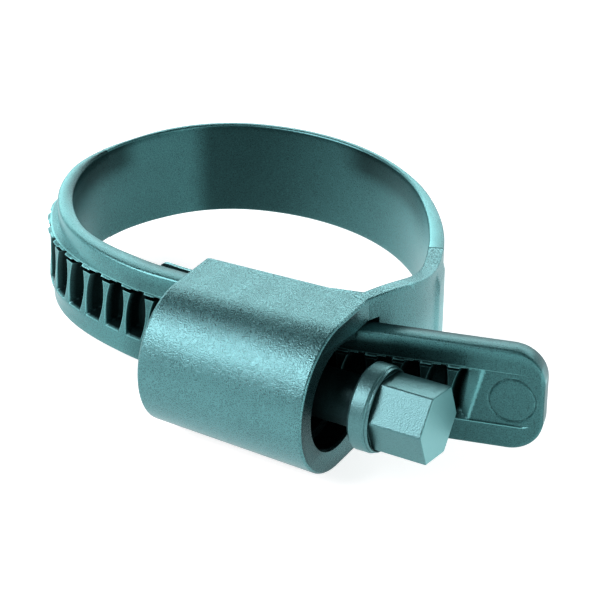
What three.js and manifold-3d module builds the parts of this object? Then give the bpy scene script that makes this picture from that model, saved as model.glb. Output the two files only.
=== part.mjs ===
// All-plastic worm-drive hose clamp: a moulded band with its own barrel housing, and a moulded
// worm screw. Millimetres. Z is the axis of the hose, X is the axis of the screw (head at +X),
// and the barrel lies on the -Y side of the hose. The origin is the middle of the hose.
import * as THREE from 'three';
import { mergeVertices } from 'three/addons/utils/BufferGeometryUtils.js';
import Module from 'manifold-3d';

const wasm = await Module();
wasm.setup();

// ---- driving dimensions -------------------------------------------------------------------
const BAND_WIDTH = 12.7;
const HOSE_RADIUS = 20.1;          // the straight strap touches a hose of this radius
const RACK_THICKNESS = 2.6;
const BACK_THICKNESS = 0.9;        // thin flexible band behind the hose
const ARM_THICKNESS = 1.9;
const PITCH = 3.175;               // of the worm and of the tooth pockets
const GAP = 0.3;                   // running clearance, and the slot between neighbouring links

const WORM_TIP_RADIUS = 4.95;
const WORM_ROOT_RADIUS = 3.4;
const WORM_OFFSET = 3.9;           // screw axis to the outer face of the strap
const HEX_ACROSS_FLATS = 8;
const HEX_PHASE = THREE.MathUtils.degToRad(-9);

const HOUSING_LEFT = 4.3;
const HOUSING_RIGHT = 26.1;
const HOUSING_HALF_LEFT = 8.6;     // half its height; the outside has a slight draft
const HOUSING_HALF_RIGHT = 9.2;
const HOUSING_FRONT = 0.96;        // front radius over half height
const BRIDGE_THICKNESS = 0.7;      // wall between the strap and the hose
const TONGUE_TIP = 0.4;            // thickness of the tongue at its tip
const TONGUE_STAND_OFF = 0.5;

// ---- places worked out from them -----------------------------------------------------------
const HALF_WIDTH = BAND_WIDTH / 2;
const STRAP_INNER_Y = -HOSE_RADIUS;
const STRAP_OUTER_Y = STRAP_INNER_Y - RACK_THICKNESS;
const WORM_Y = STRAP_OUTER_Y - WORM_OFFSET;
const HOUSING_BACK_Y = STRAP_INNER_Y + GAP + BRIDGE_THICKNESS;

// ---- the line of the band's inner face, seen along the hose axis ---------------------------
// It starts at the tail's tip and runs through the housing, round the hose and back to the
// housing's far corner. A piece is [length, radius of its right-hand turn, or 0 for straight].
const deg = THREE.MathUtils.degToRad;
const TAIL_YAW = deg(14);
const TAIL_LENGTH = 21;
const STRAIGHT_LENGTH = 21.5;       // of the strap, as far as the bend at the housing's exit
const arcPiece = (radius, degrees) => [radius * deg(degrees), radius];
const LINE = [
  [TAIL_LENGTH, 0],
  arcPiece(20, 14),
  [STRAIGHT_LENGTH, 0],
  arcPiece(23.3, 80),
  arcPiece(18, 82),
  arcPiece(26, 68),
  arcPiece(44, 28),
  arcPiece(16, 34),
  [3, 0],
];
const TANGENT_AT = LINE[0][0] + LINE[1][0] + LINE[2][0];  // where the strap leaves the hose
const TANGENT_X = -0.5;

function walk(distance, start) {
  let { x, y, heading } = start;
  let left = distance;
  for (const [length, radius] of LINE) {
    const step = Math.min(left, length);
    if (radius === 0) {
      x += step * Math.cos(heading);
      y += step * Math.sin(heading);
    } else {
      const turned = heading - step / radius;
      x += radius * (Math.sin(heading) - Math.sin(turned));
      y += radius * (Math.cos(turned) - Math.cos(heading));
      heading = turned;
    }
    left -= step;
    if (left <= 0) break;
  }
  return { x, y, heading };
}

const free = walk(TANGENT_AT, { x: 0, y: 0, heading: Math.PI + TAIL_YAW });
const START = { x: TANGENT_X - free.x, y: STRAP_INNER_Y - free.y, heading: Math.PI + TAIL_YAW };
// Distances along the band are counted from the place where the strap leaves the hose.
const at = (s) => walk(TANGENT_AT + s, START);
const STRAP_TIP = -TANGENT_AT;
const LINE_END = LINE.reduce((sum, [length]) => sum + length, 0) - TANGENT_AT;

// ---- where the band is divided into links ---------------------------------------------------
const RACK_LINK = 3 * PITCH;
const FIRST_HINGE = PITCH / 2;
const RACK_END = FIRST_HINGE + 3 * RACK_LINK;
const SEAM = 103;                   // the fixed arm starts here
const BAND_LINKS = 6;
const BAND_LINK = (SEAM - RACK_END) / BAND_LINKS;

const smooth = (value, low, high) => THREE.MathUtils.smoothstep(value, low, high);

function thickness(s) {
  const thinning = smooth(s, RACK_END, RACK_END + BAND_LINK);
  const rack = THREE.MathUtils.lerp(RACK_THICKNESS, BACK_THICKNESS, thinning);
  const arm = (ARM_THICKNESS - BACK_THICKNESS) * smooth(s, SEAM - 2 * BAND_LINK, SEAM);
  return rack + arm;
}

// The arm grows taller towards the housing, where it straddles the window of the strap.
const ARM_FLARE = HOUSING_HALF_RIGHT - HALF_WIDTH;
const halfHeight = (s) => HALF_WIDTH + ARM_FLARE * smooth(s, SEAM + 3, LINE_END - 3);

// ---- helpers ---------------------------------------------------------------------------------
function toSolid(geometry) {
  const plain = geometry.clone();
  for (const name of Object.keys(plain.attributes)) {
    if (name !== 'position') plain.deleteAttribute(name);
  }
  const welded = mergeVertices(plain, 1e-5);
  const index = new Uint32Array(welded.index.array);
  const points = new Float32Array(welded.attributes.position.array);
  return new wasm.Manifold(new wasm.Mesh({ numProp: 3, vertProperties: points, triVerts: index }));
}

function toGeometry(solid) {
  const mesh = solid.getMesh();
  const indexed = new THREE.BufferGeometry();
  indexed.setAttribute('position', new THREE.BufferAttribute(mesh.vertProperties, 3));
  indexed.setIndex(new THREE.BufferAttribute(mesh.triVerts, 1));
  const geometry = indexed.toNonIndexed();
  geometry.computeVertexNormals();
  return geometry;
}

// A box whose three sides, each counted from 0 to 1, are sent to their place by a function.
function mappedBox(segments, place) {
  const box = new THREE.BoxGeometry(1, 1, 1, segments, 1, 1).translate(0.5, 0.5, 0.5);
  const position = box.attributes.position;
  const point = new THREE.Vector3();
  for (let i = 0; i < position.count; i += 1) {
    point.fromBufferAttribute(position, i);
    position.setXYZ(i, ...place(point.x, point.y, point.z));
  }
  return toSolid(box);
}

const CHORD = 2.2;                  // longest flat on a bent face

function bandSolid(from, to) {
  const segments = Math.ceil((to - from) / CHORD);
  return mappedBox(segments, (along, across, up) => {
    const s = THREE.MathUtils.lerp(from, to, along);
    const { x, y, heading } = at(s);
    // The line is walked with the hose on its right, so the outside is on its left.
    const out = across * thickness(s);
    const height = (2 * up - 1) * halfHeight(s);
    return [x - Math.sin(heading) * out, y + Math.cos(heading) * out, height];
  });
}

function box(x0, x1, y0, y1, z0, z1) {
  const geometry = new THREE.BoxGeometry(x1 - x0, y1 - y0, z1 - z0);
  return toSolid(geometry.translate((x0 + x1) / 2, (y0 + y1) / 2, (z0 + z1) / 2));
}

// A turned solid about the screw axis, from [x, radius] corners.
function turned(corners, segments) {
  const profile = corners.map(([x, radius]) => new THREE.Vector2(radius, x));
  const geometry = new THREE.LatheGeometry(profile, segments);
  return toSolid(geometry.rotateZ(-Math.PI / 2).translate(0, WORM_Y, 0));
}

// ---- tooth pockets -----------------------------------------------------------------------------
// Each pocket is the space that one turn of the thread sweeps, with the running clearance.
const THREAD_TIP_HALF = 0.55;
const THREAD_ROOT_HALF = 1.1;
const SIDE_CLEARANCE = 0.2;
const POCKET_RADIUS = WORM_TIP_RADIUS + 0.2;
const LEAD_ANGLE = Math.atan(PITCH / (2 * Math.PI * (WORM_TIP_RADIUS + WORM_ROOT_RADIUS) / 2));

function pocketCutter(s) {
  const tip = THREAD_TIP_HALF + SIDE_CLEARANCE;
  const root = THREAD_ROOT_HALF + SIDE_CLEARANCE;
  const profile = [[0, -root], [WORM_ROOT_RADIUS, -root], [POCKET_RADIUS, -tip],
    [POCKET_RADIUS, tip], [WORM_ROOT_RADIUS, root], [0, root]];
  const disc = new THREE.LatheGeometry(profile.map(([r, x]) => new THREE.Vector2(r, x)), 28);
  disc.rotateZ(-Math.PI / 2).rotateY(LEAD_ANGLE);
  const { x, y, heading } = at(s);
  const out = RACK_THICKNESS + WORM_OFFSET;
  disc.rotateZ(heading - Math.PI);
  disc.translate(x - Math.sin(heading) * out, y + Math.cos(heading) * out, 0);
  return toSolid(disc);
}

const POCKETS_TOWARDS_TAIL = 12;
const POCKETS_ROUND_HOSE = 9;

function withPockets(solid, from, to) {
  let result = solid;
  for (let k = -POCKETS_TOWARDS_TAIL; k <= POCKETS_ROUND_HOSE; k += 1) {
    const s = k * PITCH;
    if (s > from && s < to) result = result.subtract(pocketCutter(s));
  }
  return result;
}

// ---- pieces --------------------------------------------------------------------------------------
const LINK_SLOT = GAP / 2;

const BEND_START = -STRAIGHT_LENGTH;
const TAIL_START = BEND_START - LINE[1][0];

function tail() {
  const TIP_CORNER = 4;
  const outline = new THREE.Shape();
  outline.moveTo(-2 * TAIL_LENGTH, -HALF_WIDTH);
  outline.lineTo(-TIP_CORNER, -HALF_WIDTH);
  outline.absarc(-TIP_CORNER, -HALF_WIDTH + TIP_CORNER, TIP_CORNER, -Math.PI / 2, 0, false);
  outline.absarc(-TIP_CORNER, HALF_WIDTH - TIP_CORNER, TIP_CORNER, 0, Math.PI / 2, false);
  outline.lineTo(-2 * TAIL_LENGTH, HALF_WIDTH);
  const depth = 8 * RACK_THICKNESS;
  const rounded = new THREE.ExtrudeGeometry(outline, { depth, bevelEnabled: false, curveSegments: 6 });
  const tip = at(STRAP_TIP);
  rounded.rotateX(Math.PI / 2).translate(0, depth / 2, 0).rotateZ(TAIL_YAW).translate(tip.x, tip.y, 0);
  const strip = bandSolid(STRAP_TIP, TAIL_START - LINK_SLOT).intersect(toSolid(rounded));
  return withPockets(strip, STRAP_TIP, TAIL_START);
}

// The short bend between the strap and the tail, at the housing's exit.
function exitBend() {
  return withPockets(bandSolid(TAIL_START + LINK_SLOT, BEND_START - LINK_SLOT), TAIL_START, BEND_START);
}

// The straight toothed part that runs through the housing.
function strap() {
  return withPockets(bandSolid(BEND_START + LINK_SLOT, FIRST_HINGE - LINK_SLOT), BEND_START, FIRST_HINGE);
}

function rackLink(index) {
  const from = FIRST_HINGE + index * RACK_LINK;
  const to = from + RACK_LINK;
  return withPockets(bandSolid(from + LINK_SLOT, to - LINK_SLOT), from, to);
}

function bandLink(index) {
  const from = RACK_END + index * BAND_LINK;
  return bandSolid(from + LINK_SLOT, from + BAND_LINK - LINK_SLOT);
}

const SCREW_SEGMENTS = 32;
const BORE_RADIUS = 5.5;
const MOUTH_RADIUS = 6.3;
const MOUTH_DEPTH = 3;
const LIP_RADIUS = 4.6;             // snap lip that keeps the end of the thread in
const LIP = [18.2, 19.1];
const PILOT_RADIUS = 2.6;
const BEND_X = TANGENT_X + STRAIGHT_LENGTH;
const END_WALL = 2.2;

function housingBody() {
  // A D section: half round about the screw axis, with flat sides that run back to the hose.
  const section = new THREE.Shape();
  section.absarc(0, 0, 1, Math.PI / 2, 3 * Math.PI / 2, false);
  section.lineTo(1, -1);
  section.lineTo(1, 1);
  const depth = HOUSING_RIGHT - HOUSING_LEFT;
  const geometry = new THREE.ExtrudeGeometry(section, { depth, bevelEnabled: false, curveSegments: 26 });
  const position = geometry.attributes.position;
  for (let i = 0; i < position.count; i += 1) {
    const along = position.getZ(i) / depth;
    const half = THREE.MathUtils.lerp(HOUSING_HALF_LEFT, HOUSING_HALF_RIGHT, along);
    const across = position.getX(i);
    const y = across > 0.5 ? HOUSING_BACK_Y : WORM_Y + across * half * HOUSING_FRONT;
    position.setXYZ(i, HOUSING_LEFT + position.getZ(i), y, position.getY(i) * half);
  }
  return toSolid(geometry);
}

function housing() {
  const past = HOUSING_RIGHT + 2;
  const bore = turned([[HOUSING_LEFT + END_WALL - 1, 0], [HOUSING_LEFT + END_WALL - 1, PILOT_RADIUS + GAP],
    [HOUSING_LEFT + END_WALL, PILOT_RADIUS + GAP], [HOUSING_LEFT + END_WALL, BORE_RADIUS],
    [LIP[0], BORE_RADIUS], [LIP[0], LIP_RADIUS], [LIP[1], LIP_RADIUS], [LIP[1], BORE_RADIUS],
    [HOUSING_RIGHT - MOUTH_DEPTH, BORE_RADIUS], [HOUSING_RIGHT - MOUTH_DEPTH, MOUTH_RADIUS],
    [past, MOUTH_RADIUS], [past, 0]], SCREW_SEGMENTS);
  const windowHalf = HALF_WIDTH + GAP;
  const passage = box(HOUSING_LEFT - 2, past + 2, STRAP_OUTER_Y - GAP, STRAP_INNER_Y + GAP,
    -windowHalf, windowHalf);
  // The window opens towards the hose at the exit, where the tail bends away from the screw,
  // and the wall behind the strap turns with it.
  const exit = new THREE.Matrix4().makeRotationZ(TAIL_YAW).setPosition(BEND_X, STRAP_INNER_Y, 0).elements;
  const relief = box(0, 14, -RACK_THICKNESS, GAP, -windowHalf, windowHalf).transform(exit);
  const exitWall = box(0, 5, GAP, GAP + BRIDGE_THICKNESS, -HOUSING_HALF_RIGHT + 0.3, HOUSING_HALF_RIGHT - 0.3)
    .transform(exit);
  const arm = bandSolid(SEAM + LINK_SLOT, LINE_END);
  // The tongue stands off the strap towards its tip, where the curved band comes in.
  const tongue = mappedBox(5, (along, across, up) => {
    const s = THREE.MathUtils.lerp(-HOUSING_LEFT - 1.5, 2.1, along);
    const { x, y, heading } = at(s);
    const clearance = GAP + TONGUE_STAND_OFF * along * along;
    const thick = THREE.MathUtils.lerp(BRIDGE_THICKNESS - 0.15, TONGUE_TIP, along);
    const inward = clearance + (1 - across) * thick;
    return [x + Math.sin(heading) * inward, y - Math.cos(heading) * inward,
      (2 * up - 1) * (HALF_WIDTH - 0.1)];
  });
  const outside = housingBody().add(arm).add(tongue).add(exitWall);
  return outside.subtract(bore).subtract(passage).subtract(relief);
}

const THREAD = [7.4, 17.8];
const COLLAR = [29.6, 31.8];
const COLLAR_RADIUS = 5.1;
const EDGE = 0.3;
const GROOVE_RADIUS = 4.3;          // a narrow groove parts the collar from the head's flange
const FLANGE = [32.05, 32.6];
const FLANGE_RADIUS = 4.85;
const HEAD_END = 38.6;

function wormScrew() {
  const SHANK_RADIUS = 3;
  const start = HOUSING_LEFT + END_WALL - 1 + GAP;
  const body = turned([[start, 0], [start, PILOT_RADIUS], [6.8, PILOT_RADIUS], [7.2, WORM_ROOT_RADIUS],
    [THREAD[1], WORM_ROOT_RADIUS], [THREAD[1], SHANK_RADIUS], [COLLAR[0], SHANK_RADIUS],
    [COLLAR[0], COLLAR_RADIUS - EDGE], [COLLAR[0] + EDGE, COLLAR_RADIUS],
    [COLLAR[1] - EDGE, COLLAR_RADIUS], [COLLAR[1], COLLAR_RADIUS - EDGE],
    [COLLAR[1], GROOVE_RADIUS], [FLANGE[0], GROOVE_RADIUS], [FLANGE[0], FLANGE_RADIUS],
    [FLANGE[1], FLANGE_RADIUS], [FLANGE[1], 0]], SCREW_SEGMENTS);
  const hexRadius = HEX_ACROSS_FLATS / 2 / Math.cos(Math.PI / 6);
  const length = HEAD_END - COLLAR[1] + 0.4;
  const hex = new THREE.CylinderGeometry(hexRadius, hexRadius, length, 6);
  // A corner of the prism points along +Y before it is turned to its place.
  hex.rotateZ(-Math.PI / 2).rotateX(HEX_PHASE - Math.PI / 2);
  hex.translate(HEAD_END - length / 2, WORM_Y, 0);
  // At angle 0 the thread faces the strap, and there it must lie in the pockets.
  const angleAt = (x) => 2 * Math.PI * (x - TANGENT_X) / PITCH;
  const firstAngle = angleAt(THREAD[0] + THREAD_ROOT_HALF);
  const lastAngle = angleAt(THREAD[1] - THREAD_ROOT_HALF);
  const segments = Math.round((lastAngle - firstAngle) / deg(15));
  const thread = mappedBox(segments, (along, across, up) => {
    const angle = THREE.MathUtils.lerp(firstAngle, lastAngle, along);
    const radius = THREE.MathUtils.lerp(WORM_ROOT_RADIUS - 0.3, WORM_TIP_RADIUS, up);
    const half = THREE.MathUtils.lerp(THREAD_ROOT_HALF, THREAD_TIP_HALF, up);
    const x = TANGENT_X + PITCH * angle / (2 * Math.PI) + (2 * across - 1) * half;
    return [x, WORM_Y + radius * Math.cos(angle), radius * Math.sin(angle)];
  });
  return body.add(toSolid(hex)).add(thread);
}

// ---- the clamp -------------------------------------------------------------------------------------
const moulded = (color) => new THREE.MeshStandardMaterial({ color, roughness: 0.42, metalness: 0.25 });
const clamp = new THREE.Group();

function addPiece(name, solid, color) {
  const mesh = new THREE.Mesh(toGeometry(solid), moulded(color));
  mesh.name = name;
  clamp.add(mesh);
}

addPiece('housing', housing(), 0x6f9fa3);
addPiece('worm_screw', wormScrew(), 0x7fb0b6);
addPiece('strap', strap(), 0x5d8d93);
addPiece('exit_bend', exitBend(), 0x5d8d93);
addPiece('tail', tail(), 0x5d8d93);
for (let i = 0; i < 3; i += 1) addPiece(`rack_link_${i + 1}`, rackLink(i), 0x5d8d93);
for (let i = 0; i < BAND_LINKS; i += 1) addPiece(`band_link_${i + 1}`, bandLink(i), 0x4c7c83);

export default clamp;
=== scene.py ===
"""Looks of an all-plastic worm-drive hose clamp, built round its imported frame.

Dimensions below are millimetres in the frame's axes and become metres when a mesh is made.
Z is the hose axis, X is the screw axis with the hex head at +X, and the barrel is at -Y.
Along the band, s is the distance on its inner face: 0 where the straight strap meets the ring,
negative through the housing to the tail's tip, and positive round the hose to the arm.
"""
import math

import bmesh
import bpy
import numpy as np
from mathutils import Matrix, Vector


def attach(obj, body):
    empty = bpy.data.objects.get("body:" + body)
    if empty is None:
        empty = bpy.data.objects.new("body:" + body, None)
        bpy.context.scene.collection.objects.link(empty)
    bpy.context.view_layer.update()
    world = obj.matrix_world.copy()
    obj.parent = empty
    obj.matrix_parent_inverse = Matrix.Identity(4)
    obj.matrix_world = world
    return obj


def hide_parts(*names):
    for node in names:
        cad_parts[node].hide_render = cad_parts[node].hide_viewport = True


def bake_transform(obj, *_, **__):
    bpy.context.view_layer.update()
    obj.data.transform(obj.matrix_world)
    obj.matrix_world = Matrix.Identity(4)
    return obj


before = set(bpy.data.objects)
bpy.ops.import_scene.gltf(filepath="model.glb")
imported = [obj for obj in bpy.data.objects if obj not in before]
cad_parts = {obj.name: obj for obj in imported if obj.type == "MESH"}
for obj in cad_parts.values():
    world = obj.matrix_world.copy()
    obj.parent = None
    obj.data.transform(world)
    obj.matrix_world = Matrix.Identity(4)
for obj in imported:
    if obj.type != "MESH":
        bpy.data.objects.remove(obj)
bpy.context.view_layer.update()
MM = 0.001

# ---- sizes shared with the frame ------------------------------------------------------------
HALF_WIDTH = 6.35
PITCH = 3.175
STRAP_INNER_Y = -20.1
RACK_THICKNESS = 2.6
BACK_THICKNESS = 0.9
ARM_THICKNESS = 1.9
WORM_OFFSET = 3.9
STRAP_OUTER_Y = STRAP_INNER_Y - RACK_THICKNESS
WORM_Y = STRAP_OUTER_Y - WORM_OFFSET
HOUSING_LEFT = 4.3
HOUSING_RIGHT = 26.1
HALF_LEFT = 8.6
HALF_RIGHT = 9.2
BRIDGE = 0.7
GAP = 0.3
BACK_Y = STRAP_INNER_Y + GAP + BRIDGE

# The strap runs straight through the housing, and bends behind it into the tail.
TANGENT_X = -0.5
STRAIGHT = 21.5
BEND_X = TANGENT_X + STRAIGHT
TAIL_LENGTH = 21
TAIL_TURN = 14
TAIL_YAW = math.radians(TAIL_TURN)

TOOTH_FROM, TOOTH_TO = -12, 9
RACK_END = (TOOTH_TO + 0.5) * PITCH
SEAM = 103
BAND_LINKS = 6
BAND_LINK = (SEAM - RACK_END) / BAND_LINKS


def smooth(value, low, high):
    t = np.clip((np.asarray(value, float) - low) / (high - low), 0, 1)
    return t * t * (3 - 2 * t)


def between(value, rise, fall):
    """A smooth step up and a smooth step down, each given by where it begins and ends."""
    return smooth(value, *rise) * (1 - smooth(value, *fall))


# ---- the line of the band's inner face ------------------------------------------------------
def arc(radius, degrees):
    return radius * math.radians(degrees), radius


# Stretches from the tail's tip to the end of the arm: length, and radius or 0 where straight.
LINE = [(TAIL_LENGTH, 0), arc(20, TAIL_TURN), (STRAIGHT, 0), arc(23.3, 80), arc(18, 82),
        arc(26, 68), arc(44, 28), arc(16, 34), (3, 0)]
TO_TANGENT = sum(length for length, _ in LINE[:3])
LINE_END = sum(length for length, _ in LINE) - TO_TANGENT
TIP = -TO_TANGENT


def walk(distance, x, y, heading):
    """Where a walk along the line from a starting point and heading has got to."""
    left = np.asarray(distance, float)
    for length, radius in LINE:
        step = np.clip(left, 0, length)
        if radius == 0:
            x = x + step * np.cos(heading)
            y = y + step * np.sin(heading)
        else:
            turned = heading - step / radius
            x = x + radius * (np.sin(heading) - np.sin(turned))
            y = y + radius * (np.cos(turned) - np.cos(heading))
            heading = turned
        left = left - step
    return x, y, heading


FREE = walk(TO_TANGENT, 0.0, 0.0, math.pi + TAIL_YAW)
START = (TANGENT_X - FREE[0], STRAP_INNER_Y - FREE[1], math.pi + TAIL_YAW)


def place(s, out, z):
    """Points at distance s along the band, out from its inner face, at height z."""
    s, out, z = np.broadcast_arrays(s, out, z)
    x, y, heading = walk(s - TIP, *START)
    return np.stack([x - np.sin(heading) * out, y + np.cos(heading) * out, z], -1)


def middle(s):
    return Vector(place(s, thickness(s) / 2, 0.0) * MM)


def thickness(s):
    """The rack thins to the back of the hose, and the band thickens again towards the arm."""
    thin = smooth(s, RACK_END, RACK_END + BAND_LINK)
    rack = RACK_THICKNESS + (BACK_THICKNESS - RACK_THICKNESS) * thin
    return rack + (ARM_THICKNESS - BACK_THICKNESS) * smooth(s, SEAM - 2 * BAND_LINK, SEAM)


def half_height(s):
    return HALF_WIDTH + (HALF_RIGHT - HALF_WIDTH) * smooth(s, SEAM + 3, LINE_END - 3)


def rounding(depth, radius):
    """How far a face falls back at a depth from an edge rounded to that radius."""
    d = np.clip(depth, 0, radius)
    return radius - np.sqrt(np.maximum(radius ** 2 - (radius - d) ** 2, 0))


# ---- meshes -----------------------------------------------------------------------------------
SMOOTH_ANGLE = math.radians(35)
WELD_DISTANCE = 0.0002 * MM
SLIVER = 0.0001 * MM


def finish_mesh(name, vertices, faces, marks=None):
    mesh = bpy.data.meshes.new(name)
    mesh.from_pydata((np.asarray(vertices) * MM).tolist(), [], faces)
    for mark, values in (marks or {}).items():
        mesh.attributes.new(mark, "FLOAT", "POINT").data.foreach_set("value", np.ravel(values))
    obj = bpy.data.objects.new(name, mesh)
    bpy.context.scene.collection.objects.link(obj)
    clean(obj)
    shade(obj)
    return obj


def clean(obj):
    work = bmesh.new()
    work.from_mesh(obj.data)
    bmesh.ops.remove_doubles(work, verts=work.verts, dist=WELD_DISTANCE)
    bmesh.ops.dissolve_degenerate(work, edges=work.edges, dist=SLIVER)
    bmesh.ops.recalc_face_normals(work, faces=work.faces)
    work.to_mesh(obj.data)
    work.free()


def shade(obj):
    obj.data.polygons.foreach_set("use_smooth", [True] * len(obj.data.polygons))
    obj.data.set_sharp_from_angle(angle=SMOOTH_ANGLE)


def loft(name, rings, ends="fan", marks=None):
    """A closed body through rings of points, each ring having the same number of points."""
    rings = np.asarray(rings, float)
    count, size = rings.shape[:2]
    vertices = rings.reshape(-1, 3)
    faces = []
    for i in range(count - 1):
        for j in range(size):
            a, b = i * size + j, i * size + (j + 1) % size
            faces.append((a, b, b + size, a + size))
    last = (count - 1) * size
    if ends == "strip":
        # The ring runs up one face and down the other, so its ends close row by row.
        for first in (0, last):
            for j in range(size // 2 - 1):
                back = first + size - 1 - j
                faces.append((first + j, first + j + 1, back - 1, back))
    else:
        faces.append(tuple(range(size)))
        faces.append(tuple(range(last, last + size)))
    return finish_mesh(name, vertices, faces, marks)


def mark_faces(obj, mark, test):
    """Marks each corner of each face with a value found from the face's centre and normal, and
    from the corner itself, all in the script's millimetres."""
    mesh = obj.data

    def read(items, name, width, kind=float):
        values = np.zeros(len(items) * width, kind)
        items.foreach_get(name, values)
        return values.reshape(-1, width) if width > 1 else values

    face = np.repeat(np.arange(len(mesh.polygons)), read(mesh.polygons, "loop_total", 1, int))
    centres = read(mesh.polygons, "center", 3)[face] / MM
    normals = read(mesh.polygons, "normal", 3)[face]
    corners = read(mesh.vertices, "co", 3)[read(mesh.loops, "vertex_index", 1, int)] / MM
    values = np.asarray(test(centres.T, normals.T, corners.T), float)
    mesh.attributes.new(mark, "FLOAT", "CORNER").data.foreach_set("value", values)


def apply_modifiers(obj):
    depsgraph = bpy.context.evaluated_depsgraph_get()
    result = bpy.data.meshes.new_from_object(obj.evaluated_get(depsgraph))
    obj.modifiers.clear()
    obj.data = result


def combined(obj, others, operation):
    """Joins other closed bodies to this one, or cuts them out of it, one after another."""
    for other in others:
        step = obj.modifiers.new("step", "BOOLEAN")
        step.operation = operation
        step.solver = "MANIFOLD"
        step.object = other
        apply_modifiers(obj)
        bpy.data.objects.remove(other)
    clean(obj)
    return obj


def bevelled(obj, width, segments=2):
    soften = obj.modifiers.new("soften", "BEVEL")
    soften.limit_method = "ANGLE"
    soften.angle_limit = math.radians(30)
    soften.width = width * MM
    soften.segments = segments
    apply_modifiers(obj)
    clean(obj)
    return obj


def even(obj):
    """Flat faces keep their own normal, so that only the edges between them are shaded round."""
    weighted = obj.modifiers.new("even", "WEIGHTED_NORMAL")
    weighted.keep_sharp = True
    weighted.weight = 80


# ---- the band -----------------------------------------------------------------------------------
BAND_EDGE = 0.3
BAND_STEP = 0.45
RACK_EDGE = 0.4
TIP_EDGE = 0.45


def edge_rows(radius):
    """Depths below an edge of the rows that round it."""
    return radius * (1 - np.sin(np.radians([90, 62, 35, 10])))


def smooth_rows(half, inner_rows):
    """Heights of the rows across a smooth stretch, and how far its faces fall back at each."""
    upper = np.concatenate([half - edge_rows(BAND_EDGE), np.linspace(half - 0.9, 0, inner_rows)])
    z = np.concatenate([-upper, upper[-2::-1]])
    return z, rounding(half - np.abs(z), BAND_EDGE)


def ring_of(s, z, outer, inner):
    """A section of the band: up its outer face and down its inner face."""
    front = place(s, outer, z)
    back = place(s, inner, z)
    return np.concatenate([front, back[::-1]])


def slack(s):
    """At the side of the hose the band's inner face stands off the true circle."""
    return 1.1 * between(s, (4, 16), (30, 46))


def inner_shade(s, z):
    """The inner face is polished, and the dark it reflects is painted shade: darkest at the back,
    and along its upper edge at both sides."""
    back = 0.3 * (1 - smooth(s, 76, 87)) + 0.5 * between(s, (48.3, 52), (56, 80))
    sides = between(s, (18, 26), (38, 42)) + between(s, (69, 75), (86, 94))
    return back + 0.55 * sides * smooth(z, 1.0, 4.2)


def low_painted_light(z):
    """Painted light: the arm, and the band beside it, are paler towards their lower edge."""
    return 1 - smooth(z, -2, 5)


def plain_band(name, start, end):
    """Smooth band between two distances, with small rounded edges."""
    steps = int(math.ceil((end - start) / BAND_STEP))
    rings, dark, wear_and_painted_light = [], [], []
    for s in np.linspace(start, end, steps + 1):
        z, off = smooth_rows(float(half_height(s)), 4)
        rings.append(ring_of(s, z, float(thickness(s)) - off, off + slack(s)))
        # Painted shade: darker along the upper edge towards the arm, and on the inner face.
        upper_edge = 0.3 * smooth(s, 80, 98) * (z > 5.9)
        dark.append(np.concatenate([upper_edge, inner_shade(s, z)[::-1] * (off < 0.05)]))
        # Painted light, paler towards the lower edge, on the band beside the arm.
        wear_and_painted_light.append(np.tile(0.45 * smooth(s, 75, SEAM) * low_painted_light(z), 2))
    return loft(name, rings, ends="strip", marks={"painted_shade": dark, "wear_and_painted_light": wear_and_painted_light})


def edge_crispness(s, out, z):
    """How sharply a face bends outwards at each point of a grid: 0 for flat, 1 for crisp."""
    least = 0.02
    wear = np.zeros_like(out)
    along = np.arctan2(np.diff(out, axis=0), np.maximum(np.abs(np.diff(s, axis=0)), least))
    wear[1:-1] = along[:-1] - along[1:]
    down = np.arctan2(np.diff(out, axis=1), np.maximum(np.abs(np.diff(z, axis=1)), least))
    wear[:, 1:-1] = np.maximum(wear[:, 1:-1], down[:, :-1] - down[:, 1:])
    return smooth(wear, 0.3, 1.1)


# A tooth pocket is a barrel-shaped hollow, leaning by the lead of the thread.
POCKET_DEPTH = 1.75
WALL_REACH = 0.56
CHANNEL = 3.36
END_SLOPE = 1.9
LEAD = math.tan(math.radians(6.9))
LEAN_END = 4.6


def lean(z):
    return LEAD * z * (1 - smooth(np.abs(z), CHANNEL, LEAN_END))


def pocket_half(z):
    """Half width of a pocket at its mouth, widest a little below the middle."""
    narrow, bulge, widest, reach = 0.92, 0.5, -0.4, 3.4
    return narrow + bulge * np.maximum(1 - ((z - widest) / reach) ** 2, 0)


def soft_min(a, b, blend=0.08):
    return 0.5 * (a + b - np.sqrt((a - b) ** 2 + blend ** 2))


def soft_max(a, b, blend=0.05):
    return 0.5 * (a + b + np.sqrt((a - b) ** 2 + blend ** 2))


def pocket_depth(across, z):
    """Depth at a distance from a pocket's middle: a flat floor between sloping walls and ends."""
    wall = (pocket_half(z) - across) * POCKET_DEPTH / WALL_REACH
    end = (CHANNEL - np.abs(z)) * END_SLOPE
    return soft_min(soft_min(wall, end), POCKET_DEPTH)


def rack_rows(step=0.26):
    """Heights of the rows of the toothed face, from low to high, close together at its steps."""
    edge = HALF_WIDTH - edge_rows(RACK_EDGE)
    upper = [4.9, 4.2, 3.7, 3.56, 3.5, 3.34, 3.2, 3.14, 2.9, 2.78, 2.7, 2.62, 2.53, 2.5]
    toothed = np.arange(2.36, -2.3, -step)
    lower = [-2.4, -2.5, -2.6, -2.7, -2.8, -2.9, -3.0, -3.15, -3.28, -3.36, -3.5, -3.8, -4.5, -5.2]
    return np.concatenate([edge, upper, toothed, lower, -edge[::-1]])[::-1]


# Heights from low to high, and the fall of the toothed face below the margins at each: a
# groove runs above the teeth, which is shallower in the tail.
RACK_FALL = ([-3.4, -2.4, 0, 2.5, 2.62, 3.14, 3.2, 3.5, 3.56],
             [0, 0.1, 0.2, 0.24, 0.9, 0.9, 0, 0.14, 0])
TAIL_FALL = ([-3.36, -3.28, 0, 2.7, 2.78, 3.14, 3.2, 3.5, 3.56],
             [0, 0.2, 0.24, 0.24, 0.6, 0.6, 0, 0.12, 0])
TAIL_FACE_FROM = -20


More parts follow.
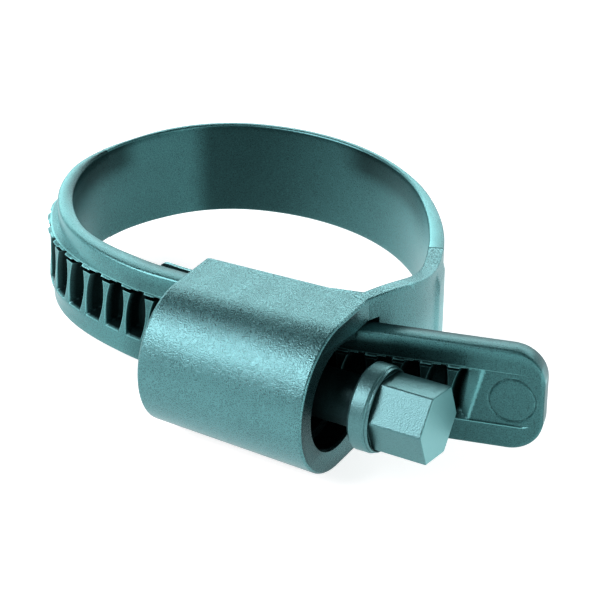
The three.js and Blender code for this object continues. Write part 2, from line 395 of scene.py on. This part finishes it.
def rack_column(pocket, side, kind, z):
    """One column of rows beside a pocket's middle: distance, fall, swell, and painted shade."""
    half = pocket_half(z)
    of_floor, (of_mouth, past_mouth), of_crest = kind
    across = of_floor * (half - WALL_REACH - 0.1) + of_mouth * (half + past_mouth)
    across = across + of_crest * PITCH / 2
    s = pocket * PITCH + side * across - lean(z)
    in_tail = pocket * PITCH < TAIL_FACE_FROM
    levels, falls = TAIL_FALL if in_tail else RACK_FALL
    fall = np.interp(z, levels, falls)
    # The ledge above the groove is notched over one half of each pocket.
    notch = (side < 0) & (across > 0.25) & (across < half + 0.02)
    fall = np.where(notch & (z > 3.15) & (z < 3.53), 0.6, fall)
    deep = pocket_depth(across, z)
    inside = np.abs(z) < CHANNEL + 0.1
    fall = np.where(inside, soft_max(deep, fall), fall)
    groove = (z > 2.52) & (z < 3.17) & (not in_tail)
    # Painted shade in the pockets and in the groove above the teeth.
    painted_shading = np.maximum(smooth(np.where(inside, deep, 0), 0.05, 0.4), groove)
    return s, fall, swell(s, z), painted_shading


def swell(s, z):
    """At the side of the hose the teeth and the lower margin stand out beyond the upper margin."""
    most, less_above, less_below = 1.9, 1.4, 0.4
    rows = most - less_above * smooth(z, 3.2, 4.2) - less_below * smooth(-z, 3.4, 5.0)
    return between(s, (5, 20), (24, 36)) * rows


def strap_shade(s):
    """Painted shade: the strap is darker through the housing, and its tail is darker than the rest."""
    tail = 0.45 * (1 - smooth(s, -26, -20))
    return tail + 0.35 * between(s, (-44, -30), (2, 6))


# Columns from a pocket's middle to its crest: share of the floor's half width, then share of
# the mouth's half width with a distance past it, then share of half the pitch.
COLUMN_KINDS = [(0.5, (0, 0), 0), (1, (0, 0), 0)]
COLUMN_KINDS += [(0, (1, past), 0) for past in (-0.5, -0.3, -0.1, -0.02, 0.06)]
COLUMN_KINDS += [(0, (0.5, 0.06), 0.5), (0, (0, 0), 1)]
MIDDLE_KIND = (0, (0, 0), 0)


def rack_piece(first, last, z):
    """Columns of the band from the crest before pocket first to the crest after pocket last."""
    columns = []
    for pocket in range(first, last + 1):
        # Neighbouring pockets share the crest between them.
        kinds = COLUMN_KINDS if pocket == first else COLUMN_KINDS[:-1]
        columns += [rack_column(pocket, -1, kind, z) for kind in reversed(kinds)]
        columns.append(rack_column(pocket, 1, MIDDLE_KIND, z))
        columns += [rack_column(pocket, 1, kind, z) for kind in COLUMN_KINDS]
    return columns


def rack_marks(s, outer, rows, painted_shading):
    """Paleness, partly wear and partly painted light, and painted shade, of the toothed face and then
    of the inner face. A shade value below 0 stands for painted light on a lit face."""
    # Painted highlights on the tip's upper corner and the upper margin beside the hose; pale crisp
    # edges are partly wear, partly painted highlight.
    tip = 0.5 * (s - TIP < TIP_EDGE + 0.01) * smooth(rows, 1, 5)
    side = 0.28 * between(s, (6, 16), (26, 36)) * smooth(rows, 3.4, 4.2)
    wear_and_painted_light = np.maximum(edge_crispness(s, outer, rows), -painted_shading)
    wear_and_painted_light = np.maximum(np.maximum(wear_and_painted_light, tip), side)
    dark = np.where(painted_shading < 0, 0, np.maximum(painted_shading, strap_shade(s)))
    # The painted shade is lifted on the pale edges before the ring, and on the upper edge, where they
    # catch the light.
    upper_edge = (0.6 + 0.4 * smooth(s, -42, -34)) * smooth(rows, 5.3, 6.0)
    dark = dark * (1 - 0.8 * wear_and_painted_light * (s < 0)) * (1 - upper_edge)
    inner = (strap_shade(s) + inner_shade(s, rows))[:, ::-1]
    return {"wear_and_painted_light": np.concatenate([wear_and_painted_light, 0 * wear_and_painted_light], 1),
            "painted_shade": np.concatenate([dark, inner], 1)}


def rack_body(name, z, columns, taper=None):
    rings, grid = [], []
    for s, fall, grown, painted_shading in columns:
        rows = z if taper is None else taper(s, z)
        off = rounding(np.abs(rows).max() - np.abs(rows), RACK_EDGE)
        off = np.maximum(off, rounding(s - TIP, TIP_EDGE))
        outer = thickness(s) + grown - fall - off
        rings.append(ring_of(s, rows, outer, np.minimum(off, BAND_EDGE) + slack(s)))
        grid.append((s, outer, rows, painted_shading))
    s, outer, rows, painted_shading = (np.array([column[k] for column in grid]) for k in range(4))
    return loft(name, rings, ends="strip", marks=rack_marks(s, outer, rows, painted_shading))


def tail_taper(s, z):
    """Heights near the tail's tip, which has rounded corners."""
    corner, toothed = 4.0, 3.6
    d = float(np.mean(s)) - TIP
    if d >= corner:
        return z
    half = HALF_WIDTH - corner + math.sqrt(corner ** 2 - (corner - d) ** 2)
    inner = min(toothed, half * 0.6)
    size = np.abs(z)
    far = inner + (size - toothed) * (half - inner) / (HALF_WIDTH - toothed)
    return np.sign(z) * np.where(size < toothed, size * inner / toothed, far)


def tail_columns(z):
    """The tail's end: the last pocket's sloping run-out and the plain end with its round mark."""
    last = TOOTH_FROM * PITCH
    ring_from_tip, ring_z, ring_radius, ring_width, ring_depth = 3.6, -0.1, 2.7, 0.12, 0.14
    stations = TIP + np.concatenate([[0.0, 0.02, 0.08, 0.2, TIP_EDGE], np.arange(0.6, 10, 0.12)])
    in_channel = np.abs(z) < CHANNEL
    ledge = (z > 2.75) & (z < 3.6)
    ramp_end = last - 1.7 - 0.25 * z
    columns = []
    for nominal in stations[stations < last - 0.1]:
        s = nominal - lean(z) * smooth(nominal, last - 4.5, last - 0.5)
        shallow = smooth(nominal - TIP, 0.5, 4.0)
        fall = np.interp(z, *TAIL_FALL) * shallow
        fall = np.where(ledge, 0.22 * shallow * (z < 3.5), fall)
        ramp = 1.2 * (s - ramp_end) / (last + 0.5 - ramp_end)
        deep = soft_min(ramp, (CHANNEL - np.abs(z)) * 3)
        fall = np.where(in_channel, soft_max(deep, fall), fall)
        from_ring = np.hypot(nominal - TIP - ring_from_tip, z - ring_z) - ring_radius
        mark = np.exp(-(from_ring / ring_width) ** 2)
        # Painted light on the run-out's ramp, and painted shade in the round mark.
        on_ramp = smooth(ramp, 0.0, 0.15) * in_channel
        painted_shading = np.where(on_ramp > 0, -0.6 * on_ramp, 0.5 * mark)
        columns.append((s, fall + ring_depth * mark, 0 * z, painted_shading))
    return columns


# The smooth pieces meet about half way between the hinges. The last one stops just short of
# the arm, so that the parting line stays clear as the band flexes.
PARTING = 0.14
RACK_BACK_END = 36.2
JOINS = [RACK_BACK_END, 48.4, 60.5, 72.65, 84.8, 96.9, SEAM - PARTING]
# Pieces of the strap and the first and last pocket of each.
STRAP_SPANS = {"strap_tail": (TOOTH_FROM, -8), "strap_bend": (-7, -4), "strap_straight": (-3, 1),
               "rack_front": (2, 4), "rack_corner": (5, 7)}
FINE_STEP = 0.13


def build_band():
    pieces = {}
    for name, (first, last) in STRAP_SPANS.items():
        at_tip = name == "strap_tail"
        z = rack_rows(FINE_STEP) if at_tip else rack_rows()
        columns = rack_piece(first, last, z)
        if at_tip:
            # The first columns, up to the first past the pocket's middle, give way to the run-out.
            columns = tail_columns(z) + columns[len(COLUMN_KINDS) + 2:]
        pieces[name] = rack_body(name, z, columns, tail_taper if at_tip else None)
    # The last pockets, then the band thins towards the back of the hose.
    z = rack_rows()
    columns = rack_piece(8, TOOTH_TO, z)
    for distance in np.linspace(RACK_END, RACK_BACK_END, 14)[1:]:
        s = np.full_like(z, distance)
        columns.append((s, 0 * z, swell(s, z), 0 * z))
    pieces["rack_back"] = rack_body("rack_back", z, columns)
    for index, (start, end) in enumerate(zip(JOINS[:-1], JOINS[1:])):
        name = f"band_{index + 1}"
        pieces[name] = plain_band(name, start, end)
    return pieces


# ---- the housing --------------------------------------------------------------------------------
WINDOW_HALF = HALF_WIDTH + 0.12
BORE_REACH = 6.75
BORE_SHADE = 0.97
SECTION_CORNER = 0.5
FRONT_SHARE = 0.965


def d_section(half, inset):
    """Ring of (y, z) points: half round at the front, with flat sides that run back."""
    front = FRONT_SHARE * half - inset
    half = half - inset
    back = BACK_Y - inset
    corner = max(SECTION_CORNER - inset, 0.06)

    def rounded(side, start):
        turn = np.radians(np.linspace(start, start + 90, 6))
        y, z = back - corner, side * (half - corner)
        return [(y + corner * math.cos(a), z + corner * math.sin(a)) for a in turn]

    turn = np.radians(np.linspace(90, 270, 61))
    points = [(WORM_Y + front * math.cos(a), half * math.sin(a)) for a in turn]
    side = np.linspace(WORM_Y, back - corner, 7)[1:-1]
    points += [(y, -half) for y in side]
    points += rounded(-1, -90)
    points += [(back, z) for z in np.linspace(-half + corner, half - corner, 9)[1:-1]]
    points += rounded(1, 0)
    points += [(y, half) for y in side[::-1]]
    return points


def barrel():
    """The housing's outside, a little taller at its open end, with rounded rims."""
    left_rim, right_rim = 0.5, 0.35
    turn = np.radians(np.linspace(0, 90, 7))
    stations = []
    for a in turn[::-1]:
        x = HOUSING_LEFT + left_rim * (1 - math.sin(a))
        stations.append((x, left_rim * (1 - math.cos(a))))
    for x in np.linspace(HOUSING_LEFT + left_rim, HOUSING_RIGHT - right_rim, 12)[1:-1]:
        stations.append((x, 0))
    for a in turn:
        x = HOUSING_RIGHT - right_rim * (1 - math.sin(a))
        stations.append((x, right_rim * (1 - math.cos(a))))
    rings = []
    for x, inset in stations:
        share = (x - HOUSING_LEFT) / (HOUSING_RIGHT - HOUSING_LEFT)
        half = HALF_LEFT + (HALF_RIGHT - HALF_LEFT) * share
        rings.append([(x, y, z) for y, z in d_section(half, inset)])
    return loft("clamp_housing", rings)


def lathe(name, profile):
    """A closed turned body about the screw axis, from (x, radius) corners that start and end on it."""
    turn = np.linspace(0, 2 * math.pi, 96, endpoint=False)
    rings = []
    for x, radius in profile:
        rings.append([(x, WORM_Y + radius * math.cos(a), radius * math.sin(a)) for a in turn])
    return loft(name, rings)


def block(name, low, high, yaw=0.0, origin=(0, 0)):
    """A box between two corners, turned about an upright axis and moved to an origin."""
    vertices = []
    for x in (low[0], high[0]):
        for y in (low[1], high[1]):
            for z in (low[2], high[2]):
                vertices.append((origin[0] + x * math.cos(yaw) - y * math.sin(yaw),
                                 origin[1] + x * math.sin(yaw) + y * math.cos(yaw), z))
    faces = [(0, 1, 3, 2), (4, 6, 7, 5), (0, 4, 5, 1), (2, 3, 7, 6), (0, 2, 6, 4), (1, 5, 7, 3)]
    return finish_mesh(name, vertices, faces)


def tongue():
    """A thin tongue on the wall between strap and hose, standing off the strap towards its tip."""
    root, tip = -HOUSING_LEFT - 1.5, 2.1
    rings = []
    for along in np.linspace(0, 1, 20):
        s = root + along * (tip - root)
        near = GAP + 0.5 * along ** 2
        thick = BRIDGE - 0.15 - 0.15 * along
        half = HALF_WIDTH - 0.1 - rounding((1 - along) * (tip - root), 1.5)
        z = np.linspace(-half, half, 9)
        rings.append(ring_of(s, z, -near, -near - thick))
    return loft("tongue", rings, ends="strip")


def arm():
    """The arm from the parting line to the housing, with a raised pad on its outer face."""
    pad_height, pad_half = 0.35, 4.2
    steps = int((LINE_END - SEAM) / 0.4)
    rings = []
    for s in np.linspace(SEAM + 0.02, LINE_END, steps):
        z, off = smooth_rows(float(half_height(s)), 5)
        pad = pad_height * between(s, (SEAM + 0.6, SEAM + 0.9), (SEAM + 5.2, SEAM + 5.6))
        pad = pad * (np.abs(z) < pad_half)
        rings.append(ring_of(s, z, float(thickness(s)) + pad - off, off))
    return loft("arm", rings, ends="strip")


def housing_painted_shade(centre, normal, corner):
    """Painted shade on each face: the walls of the bore and of the strap's window, and the end face
    in part."""
    x, y, z = centre
    within = (x > HOUSING_LEFT + 0.4) & (x < HOUSING_RIGHT - 0.1)
    bore = np.hypot(y - WORM_Y, z) < BORE_REACH
    window = (y > STRAP_OUTER_Y - GAP - 0.1) & (y < STRAP_INNER_Y + GAP + 0.05)
    window = window & (np.abs(z) < HALF_WIDTH + 0.2)
    # Painted reflection: the end face is darkened where it mirrors the dark tail, except low down and
    # beside the arm.
    mirror = (0.45 + 0.4 * smooth(corner[2], -6.5, -4.5)) * (1 - smooth(corner[1], -23.5, -21.5))
    end_face = (normal[0] > 0.95) & (np.abs(x - HOUSING_RIGHT) < 0.1)
    return np.maximum(BORE_SHADE * ((bore | window) & within), mirror * end_face)


# Painted light on the arm, paler towards its lower edge.
def arm_painted_light(centre, normal, corner):
    return (centre[0] > HOUSING_RIGHT + 0.1) * 0.6 * low_painted_light(corner[2])


def build_housing():
    body = barrel()
    bend = (BEND_X, STRAP_INNER_Y)
    wall_half = HALF_RIGHT - 0.3
    exit_wall = block("exit_wall", (0, GAP, -wall_half), (5, GAP + BRIDGE, wall_half), TAIL_YAW, bend)
    combined(body, [arm(), tongue(), exit_wall], "UNION")
    # From the closed end: the pilot's seat, the worm's space, the snap lip and the mouth.
    bore = lathe("bore", [(5.5, 0.02), (5.5, 2.9), (6.5, 2.9), (6.5, 5.5), (18.0, 5.5), (18.4, 4.7),
                          (19.0, 4.7), (19.5, 5.5), (22.9, 5.5), (23.2, 6.3), (25.8, 6.3),
                          (26.2, 6.6), (28, 6.6), (28, 0.02)])
    passage = block("passage", (HOUSING_LEFT - 2, STRAP_OUTER_Y - GAP, -WINDOW_HALF),
                    (28, STRAP_INNER_Y + GAP, WINDOW_HALF))
    relief = block("relief", (0, -RACK_THICKNESS, -WINDOW_HALF), (14, GAP, WINDOW_HALF),
                   TAIL_YAW, bend)
    combined(body, [bore, passage, relief], "DIFFERENCE")
    mark_faces(body, "painted_shade", housing_painted_shade)
    mark_faces(body, "wear_and_painted_light", arm_painted_light)
    shade(body)
    even(body)
    return body


# ---- the worm screw -----------------------------------------------------------------------------
COLLAR = 5.1
COLLAR_LEFT, COLLAR_RIGHT = 29.6, 31.85
SHANK = 3.0
THREAD_ROOT = 3.4
THREAD_FROM, THREAD_TO = 8.5, 16.7
HEX_FLATS, HEX_STEP_FLATS = 8, 8.3
HEX_FROM, HEX_STEP_TO, HEX_TO = 31.4, 31.95, 38.6
HEX_TURN = -9


def rounded_corners(corners, radius):
    """A profile whose inner corners are rounded, from (x, radius) corners."""
    points = [np.array(corners[0], float)]
    for before, here, after in zip(corners[:-2], corners[1:-1], corners[2:]):
        before, here, after = (np.array(p, float) for p in (before, here, after))
        to_before, to_after = before - here, after - here
        reach = min(radius, 0.45 * np.linalg.norm(to_before), 0.45 * np.linalg.norm(to_after))
        a = here + to_before / np.linalg.norm(to_before) * reach
        b = here + to_after / np.linalg.norm(to_after) * reach
        for t in np.linspace(0, 1, 4):
            points.append((1 - t) ** 2 * a + 2 * t * (1 - t) * here + t ** 2 * b)
    points.append(np.array(corners[-1], float))
    return points


def hexagon(name, flats, start, end):
    radius = flats / 2 / math.cos(math.radians(30))
    vertices = []
    for x in (start, end):
        for k in range(6):
            a = math.radians(HEX_TURN + 60 * k)
            vertices.append((x, WORM_Y + radius * math.cos(a), radius * math.sin(a)))
    faces = [tuple(range(6)), tuple(range(6, 12))]
    faces += [(k, (k + 1) % 6, 6 + (k + 1) % 6, 6 + k) for k in range(6)]
    return finish_mesh(name, vertices, faces)


def thread():
    """A right-hand thread, in step with the teeth."""
    first, last = (2 * math.pi * (x - TANGENT_X) / PITCH for x in (THREAD_FROM, THREAD_TO))
    rising = [(-1.1, 3.1), (-1.1, THREAD_ROOT), (-0.62, 4.8), (-0.5, 4.95)]
    profile = rising + [(-dx, r) for dx, r in reversed(rising)]
    rings = []
    for turn in np.arange(first, last, math.radians(8)):
        x = TANGENT_X + PITCH * turn / (2 * math.pi)
        rings.append([(x + dx, WORM_Y + r * math.cos(turn), r * math.sin(turn)) for dx, r in profile])
    return loft("thread", rings)


def shank_painted_shade(centre, normal, corner):
    """Painted shade: the screw is darkened up to its collar, where the housing hides it."""
    return 0.85 * (centre[0] < COLLAR_LEFT - 0.05)


# Painted light on the end face of the head.
def head_end_painted_light(centre, normal, corner):
    return 0.85 * ((centre[0] > HEX_TO - 0.6) & (normal[0] > 0.95))


def build_screw():
    # Pilot tip, root of the thread, shank, collar with a groove in its rim, and into the head.
    corners = [(5.8, 0.02), (5.8, 2.6), (6.8, 2.6), (7.2, THREAD_ROOT), (17.8, THREAD_ROOT),
               (17.9, SHANK), (COLLAR_LEFT, SHANK),
               (COLLAR_LEFT, COLLAR - 0.35), (29.95, COLLAR), (31.6, COLLAR),
               (COLLAR_RIGHT, COLLAR - 0.12), (COLLAR_RIGHT, 4.88), (32.2, 4.88), (32.2, 4.7),
               (31.8, 4.6), (31.8, 0.02)]
    body = lathe("worm_screw_body", rounded_corners(corners, 0.07))
    head = bevelled(hexagon("head", HEX_FLATS, HEX_FROM, HEX_TO), 0.2, 3)
    foot = bevelled(hexagon("foot", HEX_STEP_FLATS, HEX_FROM, HEX_STEP_TO), 0.08)
    combined(body, [head, foot, thread()], "UNION")
    mark_faces(body, "painted_shade", shank_painted_shade)
    mark_faces(body, "wear_and_painted_light", head_end_painted_light)
    shade(body)
    even(body)
    return body


# ---- materials ----------------------------------------------------------------------------------
GRAIN_SCALE = 8000.0
MOTTLE_SCALE = 160.0
PALE_SHARE = 0.75


def node(tree, kind, inputs=None, **settings):
    made = tree.nodes.new(kind)
    for key, value in settings.items():
        setattr(made, key, value)
    for key, value in (inputs or {}).items():
        if isinstance(value, bpy.types.NodeSocket):
            tree.links.new(value, made.inputs[key])
        else:
            made.inputs[key].default_value = value
    return made


def map_range(tree, value, start, end, low=0.0, high=1.0):
    """Maps start..end onto low..high."""
    made = node(tree, "ShaderNodeMapRange", {"Value": value, "From Min": start, "From Max": end,
                                             "To Min": low, "To Max": high})
    return made.outputs["Result"]


def math_of(tree, operation, first, second):
    return node(tree, "ShaderNodeMath", {0: first, 1: second}, operation=operation).outputs[0]


def mark_value(tree, name):
    return node(tree, "ShaderNodeAttribute", attribute_name=name).outputs["Fac"]


def mix_colour(tree, share, first, second, blend_type="MIX"):
    made = node(tree, "ShaderNodeMix", {0: share, 6: first, 7: second}, data_type="RGBA",
                blend_type=blend_type)
    return made.outputs[2]


def plastic(name, dark, light, roughness, grain, pale_corners=True):
    """Glass-filled nylon: fine spark-eroded grain and uneven sheen, pale edges and faces that are
    partly wear and partly painted light, and painted shade in hollows.
    """
    material = bpy.data.materials.new(name)
    material.use_nodes = True
    tree = material.node_tree
    shader = tree.nodes["Principled BSDF"]
    place_of = node(tree, "ShaderNodeTexCoord").outputs["Object"]
    cloud = node(tree, "ShaderNodeTexNoise", {"Vector": place_of, "Scale": MOTTLE_SCALE, "Detail": 2.0})
    fine = node(tree, "ShaderNodeTexNoise", {"Vector": place_of, "Scale": GRAIN_SCALE, "Detail": 0.0})
    fine = fine.outputs["Fac"]
    mottle = node(tree, "ShaderNodeMix", {0: 0.8, 2: cloud.outputs["Fac"], 3: fine}).outputs[0]
    spread = map_range(tree, mottle, 0.36, 0.64)
    colour = mix_colour(tree, spread, (*dark, 1), (*light, 1))
    # Paleness from the mark and from pointed corners: partly wear, partly painted highlight and painted
    # light.
    edge = mark_value(tree, "wear_and_painted_light")
    if pale_corners:
        point = node(tree, "ShaderNodeNewGeometry").outputs["Pointiness"]
        edge = math_of(tree, "MAXIMUM", edge, map_range(tree, point, 0.52, 0.62, high=0.35))
    edge = math_of(tree, "MULTIPLY", edge, PALE_SHARE)
    pale = tuple(min(1, c * 2.4 + 0.06) for c in light)
    wear_and_painted_light = mix_colour(tree, edge, colour, (*pale, 1))
    # Painted shade: ambient occlusion and the marked shade darken the colour in hollows, and fade the
    # specular with it.
    near = node(tree, "ShaderNodeAmbientOcclusion", {"Distance": 4 * MM}, samples=6).outputs["AO"]
    open_to = map_range(tree, near, 0.3, 0.85, low=0.15)
    above = map_range(tree, mark_value(tree, "painted_shade"), 0.0, 1.0, low=1.0, high=0.06)
    lit = math_of(tree, "MULTIPLY", open_to, above)
    tree.links.new(lit, shader.inputs["Specular IOR Level"])
    shaded_colour = mix_colour(tree, 1.0, wear_and_painted_light, lit, "MULTIPLY")
    tree.links.new(shaded_colour, shader.inputs["Base Color"])
    rough = map_range(tree, mottle, 0.3, 0.7, low=roughness - 0.05, high=roughness + 0.08)
    tree.links.new(rough, shader.inputs["Roughness"])
    bump = node(tree, "ShaderNodeBump", {"Height": fine, "Strength": grain, "Distance": 0.045 * MM})
    tree.links.new(bump.outputs["Normal"], shader.inputs["Normal"])
    shader.inputs["Metallic"].default_value = 0.72
    shader.inputs["Specular Tint"].default_value = (0.8, 0.98, 1.0, 1)
    return material


# ---- build and attach ---------------------------------------------------------------------------
HOUSING_PLASTIC = plastic("housing_nylon", (0.042, 0.14, 0.147), (0.078, 0.24, 0.25), 0.28, 1.0)
BAND_PLASTIC = plastic("band_nylon", (0.032, 0.13, 0.135), (0.062, 0.23, 0.235), 0.32, 0.4,
                       pale_corners=False)
SCREW_PLASTIC = plastic("screw_nylon", (0.05, 0.15, 0.16), (0.074, 0.21, 0.214), 0.35, 0.5)


def dress(obj, material):
    """Gives a piece its one material."""
    obj.data.materials.clear()
    obj.data.materials.append(material)


housing = build_housing()
dress(housing, HOUSING_PLASTIC)
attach(housing, "housing")
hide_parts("housing")

screw = build_screw()
screw.name = "worm_screw_moulding"
dress(screw, SCREW_PLASTIC)
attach(screw, "worm_screw")
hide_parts("worm_screw")

band = build_band()
BAND_HINGES = [RACK_END + k * BAND_LINK for k in range(BAND_LINKS)]
# piece: (CAD node it stands for, body before its hinge, body after it, the hinge's distance, reach)
FLEX = {
    "strap_tail": ("tail", "tail", "exit_bend", TIP + TAIL_LENGTH, 1.6),
    "strap_bend": ("exit_bend", "exit_bend", "strap", -STRAIGHT, 1.6),
    "strap_straight": ("strap", "strap", "rack_link_1", PITCH / 2, 2.6),
    "rack_front": ("rack_link_1", "rack_link_1", "rack_link_2", 3.5 * PITCH, 2.8),
    "rack_corner": ("rack_link_2", "rack_link_2", "rack_link_3", 6.5 * PITCH, 2.8),
    "rack_back": ("rack_link_3", "rack_link_3", "band_link_1", BAND_HINGES[0], 5.0),
}
for number in range(1, BAND_LINKS):
    link, after = f"band_link_{number}", f"band_link_{number + 1}"
    FLEX[f"band_{number}"] = (link, link, after, BAND_HINGES[number], 5.2)
for name, (stands_for, before, after, hinge, reach) in FLEX.items():
    dress(band[name], BAND_PLASTIC)
    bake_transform(band[name], before, after, start=middle(hinge - reach), end=middle(hinge + reach))
    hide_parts(stands_for)
dress(band["band_6"], BAND_PLASTIC)
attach(band["band_6"], "band_link_6")
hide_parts("band_link_6")


# ---- stage --------------------------------------------------------------------------------------
def direction(azimuth, elevation):
    """Unit vector from the object towards a place round it, in degrees from the front."""
    a, e = math.radians(azimuth), math.radians(elevation)
    return Vector((math.sin(a) * math.cos(e), -math.cos(a) * math.cos(e), math.sin(e)))


def pale_floor(size, below, colour, glow):
    mesh = bpy.data.meshes.new("floor")
    half = size / 2
    corners = [(-half, -half, 0), (half, -half, 0), (half, half, 0), (-half, half, 0)]
    mesh.from_pydata(corners, [], [(0, 1, 2, 3)])
    obj = bpy.data.objects.new("floor", mesh)
    bpy.context.scene.collection.objects.link(obj)
    obj.location = (0, 0, below)
    material = bpy.data.materials.new("floor")
    material.use_nodes = True
    shader = material.node_tree.nodes["Principled BSDF"]
    shader.inputs["Base Color"].default_value = (*colour, 1)
    shader.inputs["Roughness"].default_value = 0.8
    shader.inputs["Emission Color"].default_value = (*colour, 1)
    shader.inputs["Emission Strength"].default_value = glow
    mesh.materials.append(material)


def soft_box(name, azimuth, elevation, distance, size, power, colour=(1, 1, 1)):
    data = bpy.data.lights.new(name, "AREA")
    data.shape = "RECTANGLE"
    data.size, data.size_y = size
    data.energy = power
    data.color = colour
    obj = bpy.data.objects.new(name, data)
    bpy.context.scene.collection.objects.link(obj)
    back = direction(azimuth, elevation)
    obj.location = back * distance
    obj.rotation_mode = "QUATERNION"
    obj.rotation_quaternion = back.to_track_quat("Z", "Y")


def studio_sky():
    """Light from low down and mostly from behind, with a dark ceiling."""
    world = bpy.data.worlds.new("studio")
    bpy.context.scene.world = world
    world.use_nodes = True
    sky = world.node_tree
    where = node(sky, "ShaderNodeTexCoord").outputs["Generated"]
    axes = node(sky, "ShaderNodeSeparateXYZ", {"Vector": where}).outputs
    low = map_range(sky, axes["Z"], 0.46, 0.66, low=1.0, high=0.03)
    rear = map_range(sky, axes["Y"], -0.3, 0.4, low=0.45, high=1.1)
    background = sky.nodes["Background"]
    sky.links.new(math_of(sky, "MULTIPLY", low, rear), background.inputs["Strength"])
    background.inputs["Color"].default_value = (0.95, 0.98, 1.0, 1)


pale_floor(8, -HALF_RIGHT * MM - 0.0002, (0.62, 0.63, 0.63), 1.25)
soft_box("front_left", -42, 40, 0.6, (0.40, 0.38), 4.3, (1.0, 0.82, 0.85))
soft_box("front_right", 60, 10, 0.7, (0.3, 0.3), 1.5)
soft_box("behind", 208, 23, 0.9, (1.5, 0.24), 5.6)
studio_sky()
bpy.context.scene.view_settings.view_transform = "Standard"


# ---- camera -------------------------------------------------------------------------------------
CAMERA_AZIMUTH, CAMERA_ELEVATION, CAMERA_ROLL = 29.5, 29.0, 0.3
CAMERA_DISTANCE = 287.5
CAMERA_SHIFT = (6.3, -5.5)
CAMERA_AIM = (0, -2.6, 0)
SENSOR = 36
LENS = 138.4615


def make_camera():
    roll = math.radians(CAMERA_ROLL)
    back = direction(CAMERA_AZIMUTH, CAMERA_ELEVATION)
    right = (-back).cross(Vector((0, 0, 1))).normalized()
    up = right.cross(-back)
    across = right * math.cos(roll) + up * math.sin(roll)
    above = up * math.cos(roll) - right * math.sin(roll)
    shift = across * CAMERA_SHIFT[0] + above * CAMERA_SHIFT[1]
    position = Vector(CAMERA_AIM) + back * CAMERA_DISTANCE + shift
    data = bpy.data.cameras.new("camera")
    data.sensor_width = SENSOR
    data.lens = LENS
    data.clip_start, data.clip_end = 0.01, 20
    obj = bpy.data.objects.new("camera", data)
    bpy.context.scene.collection.objects.link(obj)
    turn = Matrix((across, above, back)).transposed()
    obj.matrix_world = Matrix.Translation(position * MM) @ turn.to_4x4()
    bpy.context.scene.camera = obj


make_camera()
